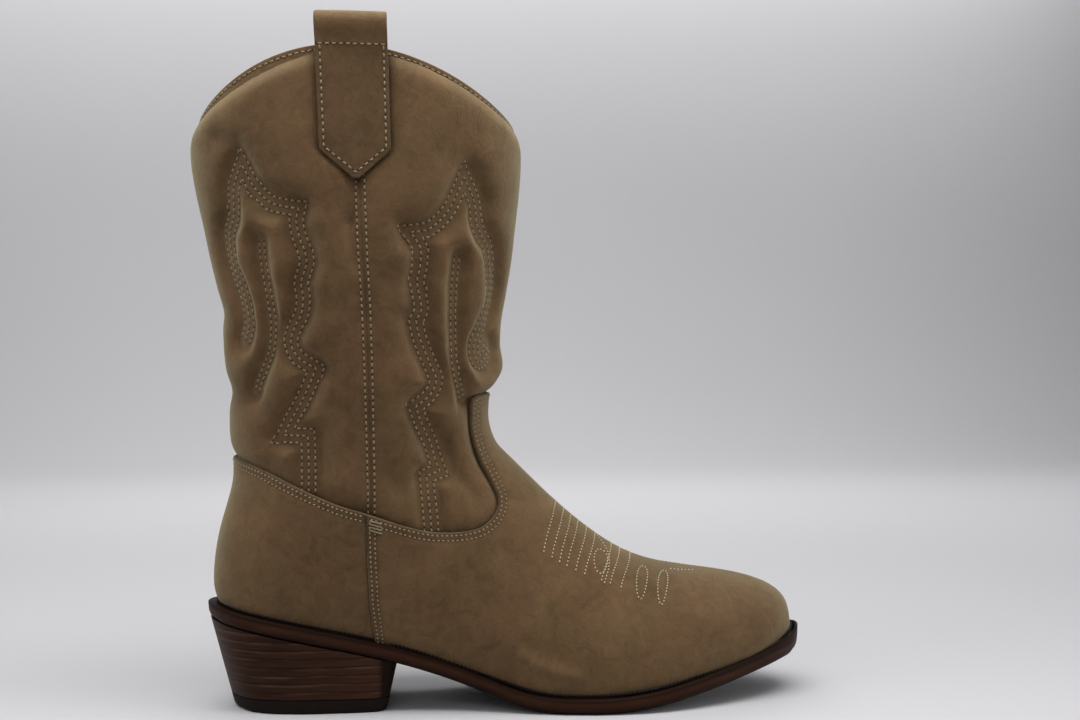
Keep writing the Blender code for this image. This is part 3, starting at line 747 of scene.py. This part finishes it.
# %% Collar roll
ROLL_RADIUS = 1.25
ROLL_SINK = 0.7
roll_path = [(p + inner_finder.find(p)[0]) / 2 - Vector((0, 0, ROLL_SINK * MM)) for p in outer_rim]
curve = bpy.data.curves.new("collar_roll", "CURVE")
curve.dimensions = "3D"
curve.bevel_depth = ROLL_RADIUS * MM
curve.bevel_resolution = 3
spline = curve.splines.new("POLY")
spline.points.add(len(roll_path) - 1)
for spot, point in zip(spline.points, roll_path):
    spot.co = (*point, 1)
spline.use_cyclic_u = True
roll = evaluated(bpy.data.objects.new("rough_roll", curve))
bpy.data.curves.remove(curve)
bmesh.ops.remove_doubles(roll, verts=roll.verts, dist=MERGE)
bmesh.ops.recalc_face_normals(roll, faces=roll.faces)
roll_piece = make_piece("collar_roll", roll, suede)
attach(roll_piece, "root")

# %% [markdown]
# ## Vamp and heel counter
#
# Each layer is a part of the same skin, lifted by its thickness. The skin is cut where its distance from
# the drawn edge passes a value, first at the edge itself and then at a few steps inside it. The steps
# become loops, and sinking the outer ones gives the folded edge its round. The loops at the sewn rows are
# kept as the lines for the thread.

# %% Layers inside an edge
LAYER_LIFT = 1.6
FOLD_WIDTH = 1.0
ROW_INSETS = (1.4, 3.5)
EDGE_LOOPS = (0.0, 0.25, 0.7, *ROW_INSETS)
SHORTEST_ROW = 12
ROW_SINK = 0.3
LAYER_WAVE = 0.3
WAVE_SIZE = 30.0


def chains(verts):
    """Walk the edges between some vertices and return them as ordered lines."""
    members = {v for v in verts if v.is_valid}
    steps = {v: [e.other_vert(v) for e in v.link_edges if e.other_vert(v) in members] for v in members}
    left = set(members)
    lines = []
    while left:
        ends = [v for v in left if sum(w in left for w in steps[v]) < 2]
        here = min(ends or left, key=lambda v: v.co.z)
        line = []
        while here is not None:
            line.append(here)
            left.discard(here)
            here = next((w for w in steps[here] if w in left), None)
        if len(line) > SHORTEST_ROW:
            lines.append([v.co.copy() for v in line])
    return lines


def cut_layer(depth):
    """A piece of skin inside an edge, with loops at some distances from it."""
    bm = skin.copy()
    layer = [bm.verts.layers.float.new(name) for name in ("painted_shade", "gap", "depth")][-1]
    for vert, value in zip(bm.verts, depth):
        vert[layer] = value
    spare = [f for f in bm.faces if max(v[layer] for v in f.verts) < 0]
    bmesh.ops.delete(bm, geom=spare, context="FACES")
    loops = [cut_at(bm, layer, level) for level in EDGE_LOOPS]
    spare = [f for f in bm.faces if sum(v[layer] for v in f.verts) / len(f.verts) < 0]
    bmesh.ops.delete(bm, geom=spare, context="FACES")
    bm.normal_update()
    return bm, layer, loops


def fold_height(depth):
    """Height of a folded edge: a quarter round that runs out level."""
    inset = min(max(depth, 0) / FOLD_WIDTH, 1)
    return LAYER_LIFT * (0.2 + 0.8 * math.sqrt(1 - (1 - inset) ** 2))


def lift_layer(bm, layer, extra=0.0, folds=()):
    """Raise a cut layer off the skin, fold its edge down, sink its sewn rows and add the listed folds."""
    painted_shade = bm.verts.layers.float["painted_shade"]
    foot_finder = nearest_by([rim_points(skin, False)])
    spots = side_view(bm)
    fold_rise = np.zeros(len(spots))
    for line, width, height in folds:
        fold_rise += height * np.exp(-(line_distance(spots, line) / width) ** 2)
    shifts = {}
    for vert, folded in zip(bm.verts, fold_rise):
        depth = vert[layer]
        rise = fold_height(depth) + extra * bell(depth, 9)
        rise += LAYER_WAVE * noise.noise(vert.co / (WAVE_SIZE * MM)) * min(depth / 8, 1) + folded
        for inset in ROW_INSETS:
            rise -= ROW_SINK * bell(depth - inset, 0.8)
        foot = foot_finder.find(vert.co)[2] / MM
        # painted shade at the folded edge, along the sewn rows and towards the sole
        vert[painted_shade] = max(0.4 * bell(depth, 0.6), 0.7 * bell(foot, 2.2))
        vert[painted_shade] += sum(0.3 * bell(depth - inset, 0.9) for inset in ROW_INSETS)
        shifts[vert] = vert.normal * rise * MM
    for vert, shift in shifts.items():
        vert.co += shift
    wall = [e for e in bm.edges if e.is_boundary and max(v[layer] for v in e.verts) < 0.05]
    grown = bmesh.ops.extrude_edge_only(bm, edges=wall)["geom"]
    for vert in (g for g in grown if isinstance(g, bmesh.types.BMVert)):
        vert.co -= vert.normal * (fold_height(0) + 0.4) * MM
    bm.normal_update()


# %% Vamp
# each fold: its line in side view, its width and its height in millimetres, a trough where negative
VAMP_FOLDS = [
    (VAMP_SEAM, 5.0, 0.8),
    ([(138, 25.5), (144, 21.5), (150, 19.2), (162, 16.4)], 2.4, 0.8),
    ([(140, 31), (147, 26.5), (156, 23)], 4.0, -0.7),
    ([(128, 62), (137, 52), (150, 46)], 9.0, 0.5),
    ([(118, 58), (126, 48), (138, 40)], 7.0, -0.5),
    ([(186, 52), (196, 45), (204, 36)], 6.0, -0.35),
]
vamp, vamp_layer, vamp_loops = cut_layer(skin_vamp)
lift_layer(vamp, vamp_layer, extra=0.3, folds=VAMP_FOLDS)
vamp_rows = [line for loop in vamp_loops[-2:] for line in chains(loop)]
vamp_tree = BVHTree.FromBMesh(vamp)
vamp_piece = make_piece("vamp_suede", vamp, suede)
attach(vamp_piece, "root")
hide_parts("vamp")
print("vamp rows", [len(line) for line in vamp_rows])

# %% Heel counter
COUNTER_UNDERLAP = 0.6
SEAM_SHADE = 0.8
GAP_LOOPS = (-1.2, -0.5)
counter, counter_layer, counter_loops = cut_layer(skin_counter)
past_seam = vamp_depth(side_view(counter)) > COUNTER_UNDERLAP
counter.verts.index_update()
spare = [f for f in counter.faces if all(past_seam[v.index] for v in f.verts)]
bmesh.ops.delete(counter, geom=spare, context="FACES")
gap_layer = counter.verts.layers.float["gap"]
for vert, gap in zip(counter.verts, vamp_depth(side_view(counter))):
    vert[gap_layer] = gap
for level in GAP_LOOPS:
    cut_at(counter, gap_layer, level)
counter.normal_update()
lift_layer(counter, counter_layer)
counter_painted_shade = counter.verts.layers.float["painted_shade"]
# painted shade along the gap where the counter meets the vamp
for vert in counter.verts:
    if vert[counter_layer] > 0.7:
        vert[counter_painted_shade] += SEAM_SHADE * bell(vert[gap_layer], 0.6)
counter_rows = [line for loop in counter_loops[-2:] for line in chains(loop)]
counter_tree = BVHTree.FromBMesh(counter)
counter_piece = make_piece("counter_suede", counter, suede)
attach(counter_piece, "root")
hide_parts("heel_counter")
print("counter rows", [len(line) for line in counter_rows])

# %% [markdown]
# ## Pull straps
#
# A pull strap is a band of doubled suede, folded over the collar into a loop, with a point at its outer
# end. The solid has its path already. A copy gets rounded edges from a bevel, and subdivision smooths the
# fold at the top.

# %% Straps
STRAP_ROUND = 0.55
# painted shade on the strap below the loop's foot; the loop above stays lighter
STRAP_SHADE = 0.2
LOOP_FOOT = 287


def softened(node, radius):
    """A welded copy of a solid with its sharp edges rounded."""
    bm = merged_copy(node)
    sharp = [e for e in bm.edges if e.calc_face_angle(0) > RIM_ANGLE]
    bmesh.ops.bevel(
        bm, geom=sharp, offset=radius * MM, offset_type="OFFSET", segments=2, profile=0.5, affect="EDGES",
        material=-1, clamp_overlap=True)
    return subdivided(bm, 2)


strap_trees = []
for node in ("pull_strap_outer", "pull_strap_inner"):
    strap = softened(node, STRAP_ROUND)
    strap_shade_layer = strap.verts.layers.float.new("painted_shade")
    for vert in strap.verts:
        # the strap's rounded sides and underside are darker: partly their own dark cut edges, partly
        # painted shade in the gap by the shaft
        side = min(max((max(abs(vert.normal.x), -vert.normal.z) - 0.15) / 0.35, 0), 0.6)
        vert[strap_shade_layer] = max(side, STRAP_SHADE if vert.co.z < LOOP_FOOT * MM else 0)
    strap_trees.append(BVHTree.FromBMesh(strap))
    strap_piece = make_piece(node + "_suede", strap, suede)
    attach(strap_piece, "root")
    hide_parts(node)

# %% [markdown]
# ## Sole and heel
#
# The outsole is a dark brown sheet with a smooth dressed edge. The heel is built up from thin lifts,
# stained dark, so fine level lines run round it. The top piece under it is black rubber. Rounded copies
# of the solids carry the shape, and the lifts are drawn in the material, because each joint is thinner
# than a hair.

# %% Sole materials
EDGE_STREAK = 3.5 * MM
EDGE_HEIGHT = 6.0
BROWN_GLOSS = {"IOR": 1.5, "Specular_IOR_Level": 0.12, "Specular_Tint": colour("#9a7a66")}


def drawn_out(tree, place, across):
    """The same place with level lengths made smaller, so that a pattern on it runs round the boot."""
    return add(tree, "Mapping", {"Vector": place, "Scale": (across, across, 1.0)}).outputs[0]


edge_leather, tree, shader, place = new_material("dressed_sole_edge", Roughness=0.55, **BROWN_GLOSS)
streak = patches(tree, drawn_out(tree, place, 0.12), EDGE_STREAK, 4.0)
# The edge is dark at the very top and reddish brown with streaks just below, where light falls on it:
# partly its own tone, partly a painted highlight. Towards the bottom it darkens to near-black: painted
# shade.
drop = painted(tree, "drop")
ruddy = maths(tree, "MULTIPLY", ramp(tree, drop, 0.4, 1.8), streak)
shade = blend(tree, ruddy, "#21150f", "#462d21")
shade = blend(tree, ramp(tree, drop, 2.6, EDGE_HEIGHT, 0.0, 0.8), shade, "#0c0907")
tree.links.new(shade, shader.inputs["Base Color"])
bump(tree, shader, streak, 0.2, 0.2 * MM)

LIFT_HEIGHT = 3.7 * MM
LIFT_SWAY = 30 * MM
FIBRE = 1.6 * MM
stacked_heel, tree, shader, place = new_material("stained_stacked_heel", Roughness=0.5, **BROWN_GLOSS)
apart = add(tree, "SeparateXYZ", {0: place})
swayed = maths(tree, "MULTIPLY_ADD", patches(tree, place, LIFT_SWAY), 3.0 * MM, apart.outputs["Z"])
within = maths(tree, "FRACT", maths(tree, "MULTIPLY", swayed, 1 / LIFT_HEIGHT))
joint = ramp(tree, within, 0.0, 0.2, 0.7, 0.0)
fibre = patches(tree, drawn_out(tree, place, 0.07), FIBRE, 4.0, Roughness=0.65)
glint = maths(tree, "MULTIPLY", ramp(tree, within, 0.62, 0.95), ramp(tree, fibre, 0.44, 0.66, 0.0, 0.7))
tone = maths(tree, "ADD", fibre, ramp(tree, apart.outputs["X"], -0.1, -0.06, -0.08, 0.3))
wood = blend(tree, tone, "#1f1511", "#432d22")
wood = blend(tree, glint, wood, "#614838")
wood = blend(tree, joint, wood, "#100a08")
# painted shade on the heel's front corner and breast
wood = blend(tree, painted(tree, "painted_breast_shade"), wood, "#1a110d")
tree.links.new(wood, shader.inputs["Base Color"])
bump(tree, shader, joint, 0.4, 0.25 * MM, invert=True)

RUBBER_GRIT = 0.9 * MM
heel_rubber, tree, shader, _, grit = mottled(
    "moulded_rubber", "#120c09", "#1d140f", RUBBER_GRIT, 3.0, Roughness=0.7, IOR=1.5,
    Specular_IOR_Level=0.12)
bump(tree, shader, grit, 0.3, 0.12 * MM)
print("the heel's lifts are", LIFT_HEIGHT / MM, "mm high")

# %% Sole, heel and top piece
BREAST_LINE = -59.4
TOWARDS_MIDDLE = (0.97, 0.94)
SOLE_PIECES = [
    ("outsole", "outsole_edge", 0.8, edge_leather),
    ("heel", "stacked_heel", 0.9, stacked_heel),
    ("heel_top_piece", "top_piece", 0.6, heel_rubber),
]
for node, name, radius, material in SOLE_PIECES:
    solid = softened(node, radius)
    drop_layer = solid.verts.layers.float.new("drop")
    breast_shade_layer = solid.verts.layers.float.new("painted_breast_shade")
    solid_tree = BVHTree.FromBMesh(solid)
    for vert in solid.verts:
        above = Vector((vert.co.x * TOWARDS_MIDDLE[0], vert.co.y * TOWARDS_MIDDLE[1], RAY_START))
        top = solid_tree.ray_cast(above, Vector((0, 0, -1)))[0]
        vert[drop_layer] = (top.z - vert.co.z) / MM if top else 0.0
        # painted shade grows from the breast line towards the heel's front
        vert[breast_shade_layer] = min(max((vert.co.x / MM - BREAST_LINE) / 1.5, 0), 0.95)
    piece = make_piece(name, solid, material)
    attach(piece, "root")
    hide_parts(node)

INSOLE_PATCH = 14 * MM
insole_leather = mottled("insole_leather", "#8a6a45", "#ad8a5d", INSOLE_PATCH, 4.0, Roughness=0.55,
                         IOR=1.45, Specular_IOR_Level=0.35)[0]
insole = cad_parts["insole"]
insole.data.materials.clear()
insole.data.materials.append(insole_leather)

# %% [markdown]
# ## Thread
#
# Every seam on this boot shows its thread. A stitch is a short, round-ended roll that dips into the hide
# at both ends. One is shaped from a small sphere, and arrays repeat it along each row as one joined mesh.
# The needle holes between the stitches are small discs of painted shade.

# %% Thread, stitch and hole
THREAD_TWIST = 0.5 * MM
THREAD_SHEEN = {"Roughness": 0.6, "IOR": 1.5, "Sheen_Weight": 0.2}
beige_thread = mottled("beige_thread", "#6f5d43", "#95815f", THREAD_TWIST, **THREAD_SHEEN)[0]
cream_thread = mottled("cream_thread", "#a5956f", "#cdbf9d", THREAD_TWIST, **THREAD_SHEEN)[0]
# needle holes as small discs of painted shade
hole_shade = mottled("needle_hole_shade", "#281c12", "#38291b", SUEDE_NAP, Roughness=0.95)[0]


def shape_arrays(bm):
    """A small shape as arrays of points and faces."""
    bm.verts.index_update()
    points = np.array([v.co for v in bm.verts])
    faces = [[v.index for v in f.verts] for f in bm.faces]
    bm.free()
    return points, faces


bm = bmesh.new()
bmesh.ops.create_uvsphere(bm, u_segments=6, v_segments=5, radius=0.5)
bmesh.ops.rotate(bm, verts=bm.verts, cent=(0, 0, 0), matrix=Matrix.Rotation(math.pi / 2, 3, "Y"))
STITCH = shape_arrays(bm)
bm = bmesh.new()
bmesh.ops.create_circle(bm, cap_ends=True, segments=6, radius=0.5)
HOLE = shape_arrays(bm)
print("a stitch has", len(STITCH[0]), "points")

# %% Sewing a row
STITCH_SHARE = 0.66
HOLE_SHARE = 0.32


def along_row(row, pitch):
    """Places and directions of the stitches of one row."""
    points = np.array(row)
    length = np.concatenate([[0], np.cumsum(np.linalg.norm(np.diff(points, axis=0), axis=1))])
    count = max(1, round(length[-1] / (pitch * MM)))
    at = (np.arange(count) + 0.5) * length[-1] / count
    half = 0.3 * pitch * MM

    def spot(where):
        return np.stack([np.interp(where, length, points[:, k]) for k in range(3)], axis=1)

    return spot(at), spot(at + half) - spot(at - half), spot(np.arange(count + 1) * length[-1] / count)


def repeat_shape(shape, places, size, dip):
    """One joined bmesh from a shape set at many places."""
    points, faces = shape
    every, out = [], []
    for k, (centre, along, normal) in enumerate(places):
        across = np.cross(normal, along)
        bent = points[:, 2] * size[2] - dip * (2 * points[:, 0]) ** 2
        every.append(centre + points[:, :1] * size[0] * along + points[:, 1:2] * size[1] * across
                     + bent[:, None] * normal)
        out.extend([[i + k * len(points) for i in face] for face in faces])
    mesh = bpy.data.meshes.new("repeated")
    mesh.from_pydata(np.concatenate(every), [], out)
    bm = bmesh.new()
    bm.from_mesh(mesh)
    bpy.data.meshes.remove(mesh)
    return bm


def on_surface(spot, along, surface, lift):
    """The spot on a surface, with the row's direction laid flat on it."""
    point, normal, _, _ = surface.find_nearest(Vector(spot))
    flat = Vector(along) - normal * normal.dot(Vector(along))
    return np.array(point + normal * lift), np.array(flat.normalized()), np.array(normal)


def sew(name, rows, surface, pitch, thick, material):
    """Stitches and needle holes along some rows on a surface."""
    stitches, holes = [], []
    for row in rows:
        spots, ways, gaps = along_row(row, pitch)
        stitches.extend(on_surface(s, w, surface, 0.12 * thick * MM) for s, w in zip(spots, ways))
        last = len(ways) - 1
        holes.extend(on_surface(s, ways[min(k, last)], surface, 0.03 * MM) for k, s in enumerate(gaps))
    size = (STITCH_SHARE * pitch * MM, thick * MM, thick * MM)
    piece = make_piece(name, repeat_shape(STITCH, stitches, size, 0.3 * thick * MM), material)
    hole_size = (HOLE_SHARE * pitch * MM, thick * 1.15 * MM, 1.0 * MM)
    punched = make_piece(name + "_holes", repeat_shape(HOLE, holes, hole_size, 0), hole_shade)
    for made in (piece, punched):
        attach(made, "root")
    print(name, "has", len(stitches), "stitches")


# %% Welt
WELT_OUT = 1.6
WELT_BEAD = 1.9
WELT_THICK = 2.0
WELT_RAISE = 0.7
# place from the back of the sole and height of the lip that the sole's rim makes round the toe
TOE_LIP = [(205, 0), (235, 0.7), (250, 1.1), (262, 1.7), (268, 2.4), (272, 3.3), (276, 4.6)]
# the welt beads are near-black: partly the welt's own colour, partly painted shade of the crevice between
# the suede and the sole
WELT_PATCH = 2 * MM
welt_and_crevice_shade = mottled("welt_with_crevice_shade", "#0e0907", "#20150f", WELT_PATCH, Roughness=0.6, IOR=1.5,
                       Specular_IOR_Level=0.2)[0]
feather = []
for vert in rim_verts(skin, False):
    lip = np.interp(vert.co.x / MM - REAR_X, *zip(*TOE_LIP))
    out = Vector((vert.normal.x, vert.normal.y, 0)).normalized() * WELT_OUT
    feather.append(vert.co + Vector((out.x, out.y, WELT_RAISE + lip)) * MM)
feather = ring_order(feather)
spots, ways, _ = along_row([*feather, feather[0]], WELT_BEAD)
beads = [(s, w / np.linalg.norm(w), np.array((0.0, 0.0, 1.0))) for s, w in zip(spots, ways)]
welt_size = (WELT_BEAD * 1.25 * MM, WELT_THICK * MM, WELT_THICK * MM)
welt = make_piece("welt_beads", repeat_shape(STITCH, beads, welt_size, 0), welt_and_crevice_shade)
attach(welt, "root")
print("the welt has", len(beads), "beads")

# %% [markdown]
# ## Sewing the shaft
#
# The three rows of a flame run side by side. Each outer row is the charted line moved over on the
# surface, with its corners kept sharp, and points that a corner pushes back towards the line are dropped.

# %% Rows of the shaft
FLAME_SPACING = 3.1
VEIN_SPACING = 2.6
SEAM_TURN = 2.2
SHAFT_PITCH = 2.8
SHAFT_THREAD = 0.78


def beside(line, offset, surface):
    """A row at a distance to one side of a line on a surface."""
    points = np.array(line)
    normals = np.array([surface.find_nearest(p)[1] for p in line])
    steps = np.diff(points, axis=0)
    steps /= np.linalg.norm(steps, axis=1)[:, None]
    came = np.concatenate([steps[:1], steps])
    goes = np.concatenate([steps, steps[-1:]])
    middle = came + goes
    middle /= np.maximum(np.linalg.norm(middle, axis=1), 1e-6)[:, None]
    lean = np.clip((middle * goes).sum(1), 0.32, 1)
    moved = points + np.cross(normals, middle) * (offset * MM / lean)[:, None]
    finder = nearest_by([line])
    kept = [m for m in moved if finder.find(Vector(m))[2] > abs(offset) * MM * 0.9]
    return kept if len(kept) > 2 else list(moved)


flame_rows = []
for line in flame_lines:
    flame_rows.append(np.array(line))
    flame_rows.extend(beside(line, way * FLAME_SPACING, shaft_tree) for way in SIDES)
for line in vein_lines:
    flame_rows.extend(beside(line, way * VEIN_SPACING / 2, shaft_tree) for way in SIDES)
for side in SIDES:
    for shift in (-SEAM_TURN, SEAM_TURN):
        row = [(turn + shift, height) for turn, height in SIDE_SEAM[0]]
        flame_rows.extend(charted([row], side, shaft_tree))
sew("shaft_stitching", flame_rows, shaft_tree, SHAFT_PITCH, SHAFT_THREAD, beige_thread)

# %% Collar row and layer rows
COLLAR_ROW = 1.8
collar_row = [p - Vector((0, 0, COLLAR_ROW * MM)) for p in rim_loop]
sew("collar_stitching", [collar_row], shaft_tree, SHAFT_PITCH, SHAFT_THREAD, beige_thread)
LAYER_PITCH = 2.1
LAYER_THREAD = 0.72
sew("vamp_stitching", vamp_rows, vamp_tree, LAYER_PITCH, LAYER_THREAD, beige_thread)
TACK_FOOT = (72.2, 80.6)
TACK_SIZE = (4.4, 5.4)
TACK_ROWS = 8
TACK_MARKS = 5
TACK_PITCH = 1.5
TACK_THREAD = 0.95


def from_side(x, height, side, surface):
    """The point of a surface at a place in side view."""
    start = Vector(((x + REAR_X) * MM, -side * RAY_START, height * MM))
    return surface.ray_cast(start, Vector((0, side, 0)))[0]


tack_rows = []
for side in SIDES:
    for k in range(TACK_ROWS):
        x = TACK_FOOT[0] + TACK_SIZE[0] * k / (TACK_ROWS - 1)
        foot = TACK_FOOT[1] - 0.3 * (x - TACK_FOOT[0])
        heights = [foot + TACK_SIZE[1] * t / TACK_MARKS for t in range(TACK_MARKS + 1)]
        marks = [from_side(x, height, side, vamp_tree) for height in heights]
        tack_rows.append([m for m in marks if m is not None])
sew("seam_tacks", tack_rows, vamp_tree, TACK_PITCH, TACK_THREAD, beige_thread)
sew("counter_stitching", counter_rows, counter_tree, LAYER_PITCH, LAYER_THREAD, beige_thread)

# %% [markdown]
# ## Sewing the straps and the toe
#
# The strap's rows run just inside its edges and round its point, with one across at the collar. On the
# toe, fine cream rows slant down from the ridge on both sides, with small loops between the last ones.

# %% Strap rows
STRAP_ROW_INSET = 1.9
COLLAR_CROSS_Z = 287
STRAP_PITCH = 2.9
STRAP_THREAD = 0.75
strap_half = STRAP_SHOULDER_HALF - STRAP_ROW_INSET
top_half = STRAP_TOP_HALF - STRAP_ROW_INSET
outline = [(-top_half, COLLAR_CROSS_Z), (-strap_half, STRAP_SHOULDER_Z + 1), (0, STRAP_TIP_Z + 2.4),
           (strap_half, STRAP_SHOULDER_Z + 1), (top_half, COLLAR_CROSS_Z)]
cross = [(-STRAP_TOP_HALF + 0.6, COLLAR_CROSS_Z), (STRAP_TOP_HALF - 0.6, COLLAR_CROSS_Z)]
for side, surface, name in zip(SIDES, strap_trees, ("outer_strap_stitching", "inner_strap_stitching")):
    rows = []
    for stroke in (outline, cross):
        marks = [from_side(*strap_place(*mark), side, surface) for ends in zip(stroke, stroke[1:])
                 for mark in smooth_stroke(ends)]
        rows.append([m for m in marks if m is not None])
    sew(name, rows, surface, STRAP_PITCH, STRAP_THREAD, beige_thread)

# %% Toe rows
TOE_ROWS = (22.6, 26.3, 29.7, 33.0, 37.0, 41.0, 48.6, 52.5, 57.4)
TOE_ROW_FOOT = 28.5
TOE_ROW_SWEEP = 9.6
TOE_PITCH = 1.9
TOE_THREAD = 0.62
# middle in plan, then half length and half width
TOE_OVALS = [((40.2, -20.5), (5.6, 3.0)), ((58.8, -22.0), (8.6, 2.4)), ((68.4, -22.0), (9.4, 2.2))]
OVAL_STEPS = 12


def toe_line(marks):
    """A row over the toe through some places in plan."""
    starts = [Vector((x * MM, y * MM, RAY_START)) for x, y in smooth_stroke(marks)]
    return [vamp_tree.ray_cast(start, Vector((0, 0, -1)))[0] for start in starts]


toe_rows = []
for side in SIDES:
    for x in TOE_ROWS:
        foot = (x - TOE_ROW_SWEEP, -side * TOE_ROW_FOOT)
        bow = (x - TOE_ROW_SWEEP * 0.38, -side * TOE_ROW_FOOT * 0.55)
        toe_rows.append(toe_line([(x, -side * 1.5), bow, foot]))
    for (x, y), (length, half) in TOE_OVALS:
        ring = []
        for k in range(OVAL_STEPS + 1):
            turn = 2 * math.pi * k / OVAL_STEPS
            down, over = length * math.cos(turn), half * math.sin(turn)
            ring.append((x + over + 0.3 * down, side * (y + down)))
        toe_rows.append(toe_line(ring))
    toe_rows.append(toe_line([(41, -side * 4), (44.5, -side * 14), (43.6, -side * 22), (40.2, -side * 29)]))
    toe_rows.append(toe_line([(74, -side * 9.5), (80, -side * 8.0), (87, -side * 5.5)]))
sew("toe_stitching", toe_rows, vamp_tree, TOE_PITCH, TOE_THREAD, cream_thread)
